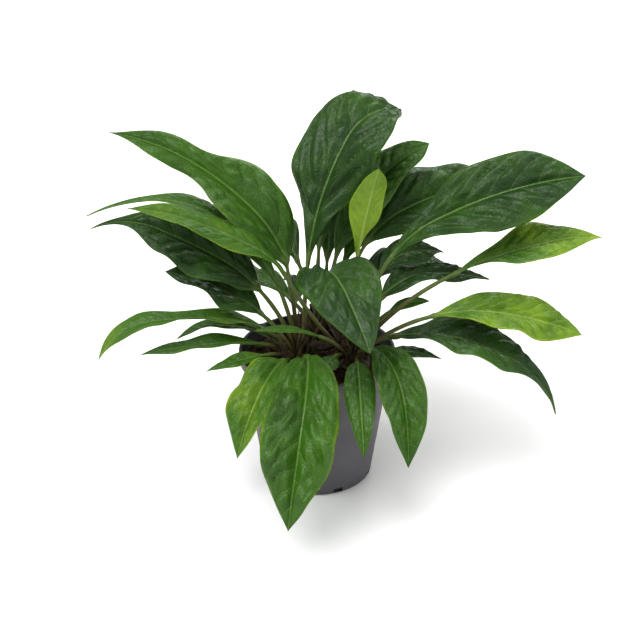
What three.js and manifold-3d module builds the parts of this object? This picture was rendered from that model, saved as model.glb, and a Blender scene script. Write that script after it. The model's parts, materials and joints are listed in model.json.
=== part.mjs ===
// Potted anthurium: a clump of long quilted leaves growing from short crowns in a plain nursery pot.
// Millimetres, +Z up. The origin is the centre of the pot's foot, on the surface it stands on.

import * as THREE from 'three';
import { mergeVertices } from 'three/addons/utils/BufferGeometryUtils.js';
import Module from 'manifold-3d';

const wasm = await Module();
wasm.setup();

// ---------------------------------------------------------------- driving dimensions

const POT = {
  height: 170,
  rimRadius: 95,
  lipDepth: 13,
  lipStep: 5,
  wall: 2,
  footRadius: 68,
  footRise: 3,
  padRadius: 30,
  floor: 3,
  corner: 4,
  bevel: 2,
  sides: 48,
  slots: 8,
  slotWidth: 12,
  slotHeight: 7,
  slotRise: 1.5,
};
const SOIL = { depthBelowRim: 14, mound: 5, gap: 0.3, sides: 36 };
const CROWN = {
  radius: 25, height: 9, footShare: 0.92, topShare: 0.86, bulge: 0.4, gap: 0.4, sides: 20,
};
const CROWNS = { left: [-27, -18], right: [43, -18], back: [6, 34] };

const STALK_RADIUS = 2.6;
const SPOT_SPACING = 7.6;
const BLADE_THICKNESS = 2.2;
const USUAL_WIDEST = 0.47;
const FULLNESS = 0.8;
const STALK_RINGS = 6;
const BLADE_RINGS = 12;

const TONES = {
  mature: { color: 0x2f4a2c, roughness: 0.38 },
  mid: { color: 0x4c6b32, roughness: 0.36 },
  young: { color: 0x8fa04a, roughness: 0.34 },
};

// ---------------------------------------------------------------- the leaves
//
// Angles are in degrees. heading is the compass direction of growth: 0 is +X and 90 is +Y.
// lean is measured from upright, so 90 is level and 180 points straight down. Both lists start at
// the foot of the stalk, then at the neck, then go in equal steps to the tip. roll turns the upper
// face towards the leaf's right hand as it grows outwards, from the neck to the tip. fold lifts
// both margins. wave is the height of the ripple along the margins and the number of ripples.

const LEAVES = [
  // left side, lowest first
  { name: 'left_bit', crown: 'left', tone: 'young', stalk: 22, blade: 44, width: 12,
    heading: [262, 250, 226], lean: [66, 86, 102], roll: [0, 0], fold: 8, wave: [0, 1] },
  { name: 'left_low_front', crown: 'left', tone: 'mid', stalk: 26, blade: 78, width: 22,
    heading: [216, 208, 198], lean: [54, 84, 104], roll: [0, -8], fold: 12, wave: [1, 2] },
  { name: 'left_low', crown: 'left', tone: 'young', stalk: 30, blade: 150, width: 30,
    heading: [197, 194, 190], lean: [46, 75, 90, 98], roll: [0, -6], fold: 14, wave: [2, 2] },
  { name: 'left_stub', crown: 'left', tone: 'mature', stalk: 24, blade: 52, width: 30,
    heading: [152, 156, 160], lean: [42, 70, 94], roll: [0, 0], fold: 8, wave: [1, 1] },
  { name: 'left_short', crown: 'left', tone: 'mid', stalk: 38, blade: 114, width: 26,
    heading: [166, 170, 178], lean: [31, 63, 94, 126], roll: [0, -10], fold: 12, wave: [1, 2] },
  { name: 'left_droop', crown: 'left', tone: 'mid', stalk: 38, blade: 232, width: 40,
    heading: [190, 190, 188], lean: [26, 50, 82, 94, 150], roll: [0, -10], fold: 12, wave: [3, 3] },
  { name: 'left_mid', crown: 'left', tone: 'mature', stalk: 66, blade: 128, width: 58,
    heading: [170, 172, 176], lean: [22, 46, 66, 80], roll: [-14, -20], fold: 8, wave: [2, 2] },
  { name: 'left_dark', crown: 'left', tone: 'mature', stalk: 94, blade: 226, width: 76, widest: 0.42,
    heading: [172, 174, 176], lean: [12, 38, 60, 68, 112], roll: [-30, -34], fold: 8, wave: [3, 3] },
  { name: 'left_long', crown: 'left', tone: 'mature', stalk: 84, blade: 282, width: 44,
    heading: [184, 184, 182], lean: [8, 18, 34, 56, 92, 112], roll: [-20, 0], fold: 12, wave: [2, 3] },
  { name: 'left_high', crown: 'left', tone: 'mid', stalk: 112, blade: 272, width: 86, widest: 0.4,
    heading: [160, 168, 176], lean: [2, 10, 44, 60, 80], roll: [-36, -40], fold: 8, wave: [4, 3] },

  // centre and top
  { name: 'top', crown: 'left', tone: 'mature', stalk: 114, blade: 250, width: 110, widest: 0.62,
    heading: [76, 52, 38], lean: [3, 8, 24, 42, 112], roll: [4, 10], fold: 6, wave: [4, 3] },
  { name: 'crest', crown: 'back', tone: 'mid', stalk: 106, blade: 184, width: 60,
    heading: [34, 30, 26], lean: [3, 16, 42, 74], roll: [20, 30], fold: 8, wave: [3, 2] },
  { name: 'young_upright', crown: 'right', tone: 'young', stalk: 124, blade: 130, width: 46,
    heading: [40, -45, -40], lean: [3, 8, 14, 16], roll: [-20, -34], fold: 12, wave: [1, 2] },
  { name: 'centre_arch', crown: 'back', tone: 'mature', stalk: 94, blade: 190, width: 86,
    heading: [-72, -82, -62], lean: [12, 24, 72, 116, 136], roll: [0, 0], fold: 6, wave: [3, 2] },
  { name: 'centre_narrow', crown: 'right', tone: 'young', stalk: 52, blade: 82, width: 16,
    heading: [206, 202, 186], lean: [30, 58, 94], roll: [0, 0], fold: 10, wave: [1, 1] },
  { name: 'left_light', crown: 'right', tone: 'young', stalk: 130, blade: 212, width: 46,
    heading: [200, 196, 182], lean: [42, 26, 56, 66, 84], roll: [-18, -26], fold: 10, wave: [2, 2] },

  // front
  { name: 'front_small', crown: 'right', tone: 'mature', stalk: 26, blade: 50, width: 28,
    heading: [244, 246, 240], lean: [46, 78, 112], roll: [0, 0], fold: 10, wave: [1, 1] },
  { name: 'front_left', crown: 'left', tone: 'young', stalk: 28, blade: 150, width: 66,
    heading: [-90, -112, -122], lean: [80, 66, 106, 134, 154], roll: [0, 6], fold: 12, wave: [2, 3] },
  { name: 'front_big', crown: 'left', tone: 'mature', stalk: 30, blade: 250, width: 86, widest: 0.52,
    heading: [-60, -84, -112], lean: [76, 60, 106, 142, 164], roll: [0, 0], fold: 10, wave: [4, 4] },
  { name: 'front_narrow', crown: 'right', tone: 'mature', stalk: 32, blade: 142, width: 36,
    heading: [-94, -90, -84], lean: [78, 68, 118, 156], roll: [0, 0], fold: 12, wave: [2, 2] },
  { name: 'front_right', crown: 'right', tone: 'mid', stalk: 40, blade: 178, width: 56,
    heading: [-54, -56, -86], lean: [44, 60, 108, 150, 170], roll: [0, 0], fold: 12, wave: [2, 4] },

  // right side, lowest first
  { name: 'right_stub', crown: 'right', tone: 'mature', stalk: 28, blade: 68, width: 24,
    heading: [-16, -12, -8], lean: [54, 84, 104], roll: [0, 6], fold: 10, wave: [1, 1] },
  { name: 'right_low', crown: 'right', tone: 'mature', stalk: 42, blade: 244, width: 70,
    heading: [-4, -6, -12], lean: [38, 72, 96, 120, 160], roll: [6, 22], fold: 10, wave: [3, 4] },
  { name: 'right_light', crown: 'right', tone: 'young', stalk: 102, blade: 182, width: 70,
    heading: [-4, -4, -8], lean: [38, 70, 96, 110], roll: [14, 26], fold: 8, wave: [3, 3] },
  { name: 'right_twist', crown: 'right', tone: 'mid', stalk: 60, blade: 54, width: 14,
    heading: [20, 14, 6], lean: [28, 54, 98], roll: [20, 70], fold: 6, wave: [0, 1] },
  { name: 'right_yellow', crown: 'right', tone: 'young', stalk: 154, blade: 180, width: 62,
    heading: [2, 2, -2], lean: [32, 60, 70, 74, 92], roll: [16, 26], fold: 10, wave: [2, 3] },
  { name: 'right_purple', crown: 'right', tone: 'mature', stalk: 76, blade: 152, width: 44, widest: 0.4,
    heading: [20, 22, 16], lean: [12, 36, 96, 112], roll: [10, 20], fold: 8, wave: [3, 2] },
  { name: 'right_under', crown: 'right', tone: 'mature', stalk: 100, blade: 96, width: 40,
    heading: [46, 32, 20], lean: [14, 34, 86, 112], roll: [10, 20], fold: 8, wave: [2, 2] },
  { name: 'right_big', crown: 'right', tone: 'mature', stalk: 128, blade: 256, width: 92, widest: 0.58,
    heading: [8, 8, 2], lean: [8, 29, 62, 73, 84], roll: [30, 46], fold: 8, wave: [5, 3] },
  { name: 'right_behind', crown: 'back', tone: 'mature', stalk: 126, blade: 200, width: 84,
    heading: [22, 22, 16], lean: [10, 32, 66, 84, 96], roll: [34, 44], fold: 8, wave: [4, 3] },

  // back, lowest first
  { name: 'back_low', crown: 'back', tone: 'mature', stalk: 34, blade: 206, width: 54,
    heading: [96, 98, 102], lean: [36, 76, 112, 152], roll: [0, 6], fold: 10, wave: [3, 3] },
  { name: 'back_low_left', crown: 'back', tone: 'mid', stalk: 44, blade: 190, width: 50,
    heading: [138, 138, 142], lean: [26, 62, 94, 132], roll: [0, -6], fold: 10, wave: [3, 3] },
  { name: 'back_low_right', crown: 'back', tone: 'mature', stalk: 44, blade: 224, width: 52,
    heading: [52, 50, 44], lean: [26, 62, 94, 130], roll: [0, 6], fold: 10, wave: [3, 3] },
  { name: 'back_mid', crown: 'back', tone: 'mature', stalk: 92, blade: 210, width: 62,
    heading: [84, 84, 80], lean: [14, 36, 76, 112], roll: [0, 6], fold: 8, wave: [4, 3] },
  { name: 'back_mid_left', crown: 'back', tone: 'mature', stalk: 90, blade: 186, width: 60,
    heading: [122, 124, 128], lean: [14, 44, 82, 112], roll: [0, -8], fold: 8, wave: [4, 3] },
  { name: 'back_mid_right', crown: 'back', tone: 'mid', stalk: 90, blade: 196, width: 56,
    heading: [60, 58, 52], lean: [14, 42, 80, 108], roll: [0, 8], fold: 8, wave: [3, 3] },
  { name: 'back_high', crown: 'back', tone: 'mature', stalk: 110, blade: 180, width: 60,
    heading: [80, 80, 78], lean: [4, 18, 52, 96], roll: [0, 0], fold: 8, wave: [4, 3] },
];

// ---------------------------------------------------------------- helpers

const radians = THREE.MathUtils.degToRad;

function namedMesh(name, geometry, finish) {
  const material = new THREE.MeshStandardMaterial({ metalness: 0, ...finish });
  const mesh = new THREE.Mesh(geometry, material);
  mesh.name = name;
  return mesh;
}

// A geometry with only its places kept, each shared corner stored once.
function welded(geometry) {
  geometry.deleteAttribute('normal');
  geometry.deleteAttribute('uv');
  return mergeVertices(geometry, 1e-4);
}

function toSolid(geometry) {
  const clean = welded(geometry);
  return new wasm.Manifold(new wasm.Mesh({
    numProp: 3,
    vertProperties: Float32Array.from(clean.attributes.position.array),
    triVerts: Uint32Array.from(clean.index.array),
  }));
}

function toGeometry(solid) {
  const mesh = solid.getMesh();
  const geometry = new THREE.BufferGeometry();
  geometry.setAttribute('position', new THREE.BufferAttribute(mesh.vertProperties, 3));
  geometry.setIndex(new THREE.BufferAttribute(mesh.triVerts, 1));
  return geometry;
}

// A solid of revolution about +Z from [radius, height] points listed from the axis, outside first.
function turned(points, sides) {
  const profile = points.map(([radius, height]) => new THREE.Vector2(radius, height));
  const geometry = new THREE.LatheGeometry(profile, sides);
  geometry.rotateX(Math.PI / 2);
  return geometry;
}

// A value from a list spread evenly over 0 to 1.
function along(list, share) {
  const place = THREE.MathUtils.clamp(share, 0, 1) * (list.length - 1);
  const first = Math.min(Math.floor(place), list.length - 2);
  return THREE.MathUtils.lerp(list[first], list[first + 1], place - first);
}

// ---------------------------------------------------------------- pot and soil

const wallTopRadius = POT.rimRadius - POT.lipStep;
const shoulder = POT.height - POT.lipDepth;
const soilTop = POT.height - SOIL.depthBelowRim;

// Inside radius of the straight wall at a height above the foot.
function insideRadius(height) {
  const share = (height - POT.footRise) / (shoulder - POT.footRise);
  return THREE.MathUtils.lerp(POT.footRadius, wallTopRadius, share) - POT.wall;
}

function pot() {
  const { corner, bevel } = POT;
  const lipInside = POT.rimRadius - 1.3 * POT.wall;
  const floorTop = POT.footRise + POT.floor;
  let result = toSolid(turned([
    [0, 0],
    [POT.padRadius, 0],
    [POT.padRadius + bevel, POT.footRise],
    [POT.footRadius - 2 * corner, POT.footRise],
    [POT.footRadius - 2 * corner + bevel, 0],
    [POT.footRadius - corner, 0],
    [POT.footRadius - corner / 4, corner - bevel],
    [POT.footRadius, corner],
    [wallTopRadius, shoulder],
    [POT.rimRadius, shoulder + bevel / 2],
    [POT.rimRadius, POT.height - bevel],
    [POT.rimRadius - bevel / 2, POT.height],
    [POT.rimRadius - POT.wall, POT.height],
    [lipInside, POT.height - bevel],
    [lipInside, shoulder + POT.floor],
    [insideRadius(shoulder), shoulder],
    [insideRadius(floorTop), floorTop],
    [0, floorTop],
  ], POT.sides));
  for (let i = 0; i < POT.slots; i += 1) {
    const slot = new THREE.BoxGeometry(4 * corner, POT.slotWidth, POT.slotHeight);
    slot.translate(POT.footRadius + corner / 2, 0, POT.slotRise + POT.slotHeight / 2);
    slot.rotateZ(2 * Math.PI * (i + 0.5) / POT.slots);
    result = result.subtract(toSolid(slot));
  }
  return namedMesh('pot', toGeometry(result), { color: 0x55535a, roughness: 0.55 });
}

function soil() {
  const bottom = POT.footRise + POT.floor + SOIL.gap;
  const edge = (height) => insideRadius(height) - 2 * SOIL.gap;
  const mound = (share) => [edge(soilTop) * share, soilTop + SOIL.mound * (1 - share ** 2)];
  return namedMesh('soil', welded(turned([
    [0, bottom],
    [edge(bottom), bottom],
    mound(1),
    mound(2 / 3),
    mound(1 / 3),
    mound(0),
  ], SOIL.sides)), { color: 0x3a2a22, roughness: 0.95 });
}

// Height of a crown's top face above the foot.
const crownBottom = soilTop + SOIL.mound + SOIL.gap;
const crownTop = crownBottom + CROWN.height;

function crown(name, [x, y]) {
  const body = turned([
    [0, crownBottom],
    [CROWN.radius * CROWN.footShare, crownBottom],
    [CROWN.radius, crownBottom + CROWN.height * CROWN.bulge],
    [CROWN.radius * CROWN.topShare, crownTop],
    [0, crownTop],
  ], CROWN.sides);
  body.translate(x, y, 0);
  return namedMesh(`crown_${name}`, welded(body), { color: 0x5e5a34, roughness: 0.8 });
}

// ---------------------------------------------------------------- leaves

// Places for stalks on a crown, spread like seeds in a sunflower head.
function sunflowerSpots(count) {
  const goldenAngle = Math.PI * (3 - Math.sqrt(5));
  return Array.from({ length: count }, (_, i) => {
    const radius = SPOT_SPACING * 0.5 * Math.sqrt(i + 0.3);
    return new THREE.Vector2(radius, 0).rotateAround(new THREE.Vector2(), i * goldenAngle);
  });
}

// Gives every leaf of a crown its place. Each takes the free spot furthest the way it heads, and
// the leaves that lean most choose first, so they grow from further out.
function assignSpots(leaves) {
  const free = sunflowerSpots(leaves.length);
  return leaves.map((leaf) => {
    const heading = radians(leaf.heading[0]);
    const reach = (spot) => spot.x * Math.cos(heading) + spot.y * Math.sin(heading);
    free.sort((a, b) => reach(b) - reach(a));
    return free.shift();
  });
}

// Half the width of a blade at a share of its length: a wedge foot, widest at the leaf's own
// place, and a drawn-out tip.
function halfWidth(leaf, share) {
  const { width, widest = USUAL_WIDEST } = leaf;
  const bias = Math.log(0.5) / Math.log(widest);
  return 0.5 * width * Math.sin(Math.PI * share ** bias) ** FULLNESS;
}

// The rings of a leaf from its foot to just short of the tip, then the tip itself. The middle of
// each ring moves on in the direction that the lean and heading make there.
function leafRings(leaf, start) {
  const point = start.clone();
  const rings = [];
  const total = STALK_RINGS + BLADE_RINGS;
  for (let i = 0; i <= total; i += 1) {
    const onBlade = i > STALK_RINGS;
    const share = onBlade ? (i - STALK_RINGS) / BLADE_RINGS : 0;
    const angle = (list) => (onBlade ? along(list.slice(1), share)
      : along(list.slice(0, 2), i / STALK_RINGS));
    const lean = radians(angle(leaf.lean));
    const heading = radians(angle(leaf.heading));
    const tangent = new THREE.Vector3(
      Math.sin(lean) * Math.cos(heading), Math.sin(lean) * Math.sin(heading), Math.cos(lean));
    if (i > 0) {
      const step = onBlade ? leaf.blade / BLADE_RINGS : leaf.stalk / STALK_RINGS;
      point.addScaledVector(tangent, step);
    }
    if (i === total) {
      rings.push([point.clone()]);
      break;
    }
    const roll = radians(onBlade ? along(leaf.roll, share) : leaf.roll[0] * i / STALK_RINGS);
    const side = new THREE.Vector3(Math.sin(heading), -Math.cos(heading), 0).applyAxisAngle(tangent, roll);
    const up = new THREE.Vector3().crossVectors(side, tangent);
    const half = Math.hypot(STALK_RADIUS * (1 - share), onBlade ? halfWidth(leaf, share) : 0);
    const thick = THREE.MathUtils.lerp(STALK_RADIUS, BLADE_THICKNESS / 2, Math.min(1, 4 * share));
    const fold = onBlade ? Math.tan(radians(leaf.fold)) * halfWidth(leaf, share) : 0;
    const [height, count] = leaf.wave;
    const ripple = onBlade ? height * Math.sin(2 * Math.PI * count * share) * Math.sin(Math.PI * share) : 0;
    const at = (across, above) => point.clone().addScaledVector(side, across).addScaledVector(up, above);
    rings.push([at(-half, fold + ripple), at(0, thick), at(half, fold - ripple), at(0, -thick)]);
  }
  return rings;
}

// A closed skin over rings of four, with a flat foot and a point at the tip. Every diagonal runs
// from a margin on to the midrib, above and below alike, so the two faces never cross.
function skin(rings) {
  const points = rings.flat();
  const faces = [[0, 2, 1], [0, 3, 2]];
  const last = rings.length - 2;
  for (let ring = 0; ring < last; ring += 1) {
    for (let i = 0; i < 4; i += 1) {
      const a = 4 * ring + i;
      const b = 4 * ring + (i + 1) % 4;
      if (i % 2 === 0) faces.push([a, b, b + 4], [a, b + 4, a + 4]);
      else faces.push([a, b, a + 4], [b, b + 4, a + 4]);
    }
  }
  for (let i = 0; i < 4; i += 1) {
    faces.push([4 * last + i, 4 * last + (i + 1) % 4, points.length - 1]);
  }
  const geometry = new THREE.BufferGeometry().setFromPoints(points);
  geometry.setIndex(faces.flat());
  return geometry;
}

function leaves() {
  return Object.entries(CROWNS).flatMap(([crownName, [x, y]]) => {
    const own = LEAVES.filter((leaf) => leaf.crown === crownName);
    own.sort((a, b) => b.lean[1] - a.lean[1]);
    const spots = assignSpots(own);
    return own.map((leaf, i) => {
      const clearance = CROWN.gap + STALK_RADIUS * Math.sin(radians(leaf.lean[0]));
      const start = new THREE.Vector3(x + spots[i].x, y + spots[i].y, crownTop + clearance);
      return namedMesh(`leaf_${leaf.name}`, skin(leafRings(leaf, start)), TONES[leaf.tone]);
    });
  });
}

// ---------------------------------------------------------------- the plant

const plant = new THREE.Group();
plant.add(pot(), soil());
for (const [name, place] of Object.entries(CROWNS)) plant.add(crown(name, place));
plant.add(...leaves());

export default plant;
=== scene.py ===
"""Potted anthurium: the finished look of the leaves, crowns, soil and pot, around the fixed frame.

The frame gives each leaf as a coarse closed solid, a ring of four points at each step from the foot
of the stalk to the tip. Each leaf here is a fine skin through those rings.
"""

import json

import bpy
import numpy as np
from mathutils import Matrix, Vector


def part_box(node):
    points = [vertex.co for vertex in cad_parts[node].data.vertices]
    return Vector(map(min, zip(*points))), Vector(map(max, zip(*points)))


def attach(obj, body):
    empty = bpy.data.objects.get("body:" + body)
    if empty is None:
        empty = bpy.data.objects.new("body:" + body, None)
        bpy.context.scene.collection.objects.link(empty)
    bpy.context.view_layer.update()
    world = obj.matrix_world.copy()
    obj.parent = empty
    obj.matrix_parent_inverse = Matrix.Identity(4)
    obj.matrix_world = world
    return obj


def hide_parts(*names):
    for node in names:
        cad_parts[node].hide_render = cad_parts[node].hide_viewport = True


bl_info = {
    "name": "Potted Anthurium",
    "version": (1, 0, 0),
    "blender": (4, 5, 0),
    "location": "View3D > Sidebar > Anthurium",
    "description": "Makes the leaves, crowns, soil, pot and stage of a potted anthurium",
    "category": "Add Mesh",
}

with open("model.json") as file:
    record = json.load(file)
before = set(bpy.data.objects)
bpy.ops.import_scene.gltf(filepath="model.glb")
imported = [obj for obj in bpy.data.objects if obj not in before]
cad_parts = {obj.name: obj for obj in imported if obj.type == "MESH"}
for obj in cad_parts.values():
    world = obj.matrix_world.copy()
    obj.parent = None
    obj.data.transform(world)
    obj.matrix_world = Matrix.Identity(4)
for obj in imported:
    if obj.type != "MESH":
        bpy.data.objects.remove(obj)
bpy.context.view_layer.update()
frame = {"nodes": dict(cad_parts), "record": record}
SLOT_OF = {row["node"]: row["material_slot"] for row in frame["record"]["subparts"]}
LEAF_NODES = sorted(name for name in frame["nodes"] if name.startswith("leaf_"))
CROWN_NODES = sorted(name for name in frame["nodes"] if name.startswith("crown_"))
POT_HIGH = np.array(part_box("pot")[1])
SOIL_LOW, SOIL_HIGH = (np.array(corner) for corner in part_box("soil"))

# How old each kind of leaf is, from 0, an old dark leaf, to 1, one that has just opened.
AGE_OF_SLOT = {"leaf_mature": 0.12, "leaf_mid": 0.42, "leaf_young": 0.8}

# The width of a blade against its CAD width, at even steps from its foot to its tip.
USUAL_OUTLINE = (0.55, 0.9, 1.0, 1.0, 0.88, 0.6)

# Leaves that differ from the others of their kind, in age, in how strongly the blade is quilted,
# or in outline.
LEAF_HABITS = {
    "leaf_left_high": {"age": 0.34, "quilting": 0.9, "outline": (0.8, 1.0, 0.95, 0.5, 0.72, 0.2)},
    "leaf_left_long": {"age": 0.36, "quilting": 0.5, "outline": (0.7, 1.0, 1.0, 0.8, 0.4, 0.7)},
    "leaf_left_dark": {"outline": (0.9, 1.0, 1.05, 0.95, 0.3, 0.15)},
    "leaf_left_light": {"age": 0.46, "quilting": 0.6,
                        "outline": (0.6, 0.75, 0.95, 1.05, 0.95, 0.6)},
    "leaf_left_droop": {"age": 0.5, "quilting": 0.6,
                        "outline": (0.8, 1.0, 0.55, 0.75, 1.25, 0.9)},
    "leaf_left_mid": {"outline": (0.6, 0.85, 1.0, 1.0, 1.05, 1.1)},
    "leaf_left_low": {"age": 0.36, "quilting": 0.6},
    "leaf_left_bit": {"age": 0.62},
    "leaf_top": {"age": 0.12, "quilting": 1.2, "outline": (0.7, 0.85, 1.0, 1.0, 1.0, 0.9)},
    "leaf_crest": {"age": 0.3, "outline": (0.6, 0.8, 0.95, 1.0, 1.15, 1.5)},
    "leaf_young_upright": {"age": 0.86, "quilting": 0.4,
                           "outline": (0.15, 0.35, 0.65, 0.95, 1.25, 1.7)},
    "leaf_centre_arch": {"outline": (0.7, 1.0, 1.08, 1.0, 0.9, 0.85)},
    "leaf_centre_narrow": {"age": 0.4},
    "leaf_front_left": {"age": 0.58, "quilting": 0.9},
    "leaf_front_big": {"age": 0.38, "quilting": 1.35,
                       "outline": (0.8, 0.95, 1.0, 1.0, 0.98, 0.8)},
    "leaf_front_narrow": {"age": 0.32, "quilting": 0.7},
    "leaf_front_right": {"age": 0.34, "quilting": 1.3},
    "leaf_right_low": {"outline": (0.5, 0.95, 1.05, 0.9, 0.55, 0.25)},
    "leaf_right_light": {"age": 0.66, "quilting": 1.3,
                         "outline": (0.3, 0.62, 0.9, 1.0, 1.1, 1.0)},
    "leaf_right_yellow": {"age": 0.6, "quilting": 0.8,
                          "outline": (0.2, 0.42, 0.75, 1.0, 0.9, 0.5)},
    "leaf_right_twist": {"age": 0.5, "quilting": 0.3},
    "leaf_right_big": {"age": 0.16, "quilting": 1.2,
                       "outline": (0.45, 0.75, 0.95, 1.0, 1.05, 0.9)},
}

WELD = 1e-5           # CAD points closer than this are one point
STALK_RINGS = 6       # CAD rings from a leaf's foot to where its blade begins
SECTION_HALF = 19     # points from a leaf's midrib to its margin, both counted
RING_STEP = 0.0026    # distance along a leaf from one fine ring to the next
RUFFLE = 0.0105       # how far the margin of a wide blade waves up or down
FLOOR_REACH = 40.0    # how far the floor runs out from the pot on each side
MOUND = 0.005         # how much higher the mix stands in the middle than at the wall
DRAIN_SLOTS = 8
PALE_BARK = (0.13, 0.062, 0.034, 1)

# The corners of a block with sides of 1 about its middle, and its quads, facing outwards.
BLOCK_CORNERS = np.array([[x, y, z] for x in (-1, 1) for y in (-1, 1) for z in (-1, 1)]) / 2
BLOCK_QUADS = np.array([[0, 1, 3, 2], [4, 6, 7, 5], [0, 4, 5, 1], [2, 3, 7, 6], [0, 2, 6, 4],
                        [1, 5, 7, 3]])


# ------------------------------------------------------------------------------- settings


class LeafSettings(bpy.types.PropertyGroup):
    """Sizes and colours of the leaves."""

    thickness: bpy.props.FloatProperty(
        name="Thickness", description="Thickness of the blade between its veins",
        default=0.0007, unit="LENGTH")
    vein_spacing: bpy.props.FloatProperty(
        name="Vein spacing", description="Distance between side veins along the midrib",
        default=0.025, unit="LENGTH")
    quilt_height: bpy.props.FloatProperty(
        name="Quilt height", description="Rise of the blade between two side veins",
        default=0.0046, unit="LENGTH")
    arch: bpy.props.FloatProperty(
        name="Arch", description="Rise of each half of the blade as a share of its width",
        default=0.07, subtype="FACTOR")
    rib_radius: bpy.props.FloatProperty(
        name="Rib radius", description="Radius of the midrib where the blade begins",
        default=0.0019, unit="LENGTH")
    old_green: bpy.props.FloatVectorProperty(
        name="Old green", description="Colour of an old leaf", subtype="COLOR", size=4,
        default=(0.016, 0.047, 0.008, 1.0))
    full_green: bpy.props.FloatVectorProperty(
        name="Full green", description="Colour of a full-grown leaf", subtype="COLOR", size=4,
        default=(0.042, 0.118, 0.006, 1.0))
    new_green: bpy.props.FloatVectorProperty(
        name="New green", description="Colour of a leaf that has just opened", subtype="COLOR",
        size=4, default=(0.22, 0.33, 0.014, 1.0))
    rib_green: bpy.props.FloatVectorProperty(
        name="Rib green", description="Colour of the midrib and side veins", subtype="COLOR",
        size=4, default=(0.13, 0.225, 0.05, 1.0))
    pale_rib: bpy.props.FloatVectorProperty(
        name="Pale rib", description="Colour of the midrib and side veins of a new leaf",
        subtype="COLOR", size=4, default=(0.42, 0.5, 0.17, 1.0))
    stalk_green: bpy.props.FloatVectorProperty(
        name="Stalk green", description="Colour of a stalk where the blade begins",
        subtype="COLOR", size=4, default=(0.09, 0.135, 0.03, 1.0))
    stalk_brown: bpy.props.FloatVectorProperty(
        name="Stalk brown", description="Colour of a stalk near its foot", subtype="COLOR",
        size=4, default=(0.085, 0.05, 0.02, 1.0))


class CrownSettings(bpy.types.PropertyGroup):
    """Old leaf sheaths round the crowns."""

    sheaths: bpy.props.IntProperty(
        name="Sheaths", description="Number of old leaf sheaths on each crown", default=26,
        min=1, subtype="UNSIGNED")
    sheath_height: bpy.props.FloatProperty(
        name="Sheath height", description="Height of the tallest sheath", default=0.046,
        unit="LENGTH")
    # Both colours are the stems' own brown, darkened further as painted shade for the shaded centre
    # of the plant; noise spreads them at random, not into hollows and onto raised parts.
    dark: bpy.props.FloatVectorProperty(
        name="Dark", description="Colour in the hollows of the stems and sheaths",
        subtype="COLOR", size=4, default=(0.022, 0.014, 0.008, 1.0))
    light: bpy.props.FloatVectorProperty(
        name="Light", description="Colour of the raised parts of the stems and sheaths",
        subtype="COLOR", size=4, default=(0.085, 0.06, 0.025, 1.0))


class PotSettings(bpy.types.PropertyGroup):
    """Sizes and colour of the pot."""

    wall: bpy.props.FloatProperty(
        name="Wall", description="Thickness of the pot's wall", default=0.0019, unit="LENGTH")
    colour: bpy.props.FloatVectorProperty(
        name="Colour", description="Colour of the moulded plastic", subtype="COLOR", size=4,
        default=(0.08, 0.076, 0.086, 1.0))


class SoilSettings(bpy.types.PropertyGroup):
    """Sizes and colours of the potting mix."""

    relief: bpy.props.FloatProperty(
        name="Relief", description="Height of the lumps in the mix", default=0.0035,
        unit="LENGTH")
    chips: bpy.props.IntProperty(
        name="Chips", description="Number of bark chips on top", default=700, min=1,
        subtype="UNSIGNED")
    chip_size: bpy.props.FloatProperty(
        name="Chip size", description="Length of the largest chip", default=0.011,
        unit="LENGTH")
    colour: bpy.props.FloatVectorProperty(
        name="Colour", description="Colour of the damp mix", subtype="COLOR", size=4,
        default=(0.011, 0.007, 0.005, 1.0))
    # The bark's own brown, darkened further as painted shade for the shade under the leaves; the
    # mix's paler flecks use this colour too.
    chip_and_painted_shade_colour: bpy.props.FloatVectorProperty(
        name="Chip colour", description="Colour of the bark", subtype="COLOR", size=4,
        default=(0.055, 0.022, 0.012, 1.0))


class StageSettings(bpy.types.PropertyGroup):
    """Camera and lights."""

    distance: bpy.props.FloatProperty(
        name="Distance", description="From the camera to the point it aims at", default=1.8,
        unit="LENGTH")
    pitch: bpy.props.FloatProperty(
        name="Pitch", description="How far the camera looks down", default=0.48,
        subtype="ANGLE")
    lens: bpy.props.FloatProperty(
        name="Lens", description="Focal length in millimetres", default=84.2, unit="CAMERA")
    aim: bpy.props.FloatVectorProperty(
        name="Aim", description="The point that the camera looks at", subtype="TRANSLATION",
        default=(0.0036, 0.0, 0.2083))


# ------------------------------------------------------------------------------- helpers


def seeded(name):
    """A random generator that always gives the same numbers for the same name."""
    return np.random.default_rng(sum((i + 1) * ord(letter) for i, letter in enumerate(name)))


def smooth(low, high, value):
    """0 below low, 1 above high and an S-curve between."""
    t = np.clip((value - low) / (high - low), 0, 1)
    return t * t * (3 - 2 * t)


def unit(vectors):
    """Vectors scaled to length 1 along the last axis."""
    return vectors / np.maximum(np.linalg.norm(vectors, axis=-1, keepdims=True), 1e-12)


def through(points, at):
    """A smooth curve through rows of points, read at fractional row numbers.

    Between two rows it is the cubic whose slope at each row is half the step from the row before
    to the row after.
    """
    last = len(points) - 1
    slope = np.gradient(points, axis=0)
    i = np.minimum(at.astype(int), last - 1)
    t = (at - i)[:, None]
    return ((2 * t**3 - 3 * t**2 + 1) * points[i] + (t**3 - 2 * t**2 + t) * slope[i]
            + (3 * t**2 - 2 * t**3) * points[i + 1] + (t**3 - t**2) * slope[i + 1])


def lattice(seed, size=64):
    """A square table of random numbers from -1 to 1 for soft_noise."""
    return np.random.default_rng(seed).uniform(-1, 1, (size, size))


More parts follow.
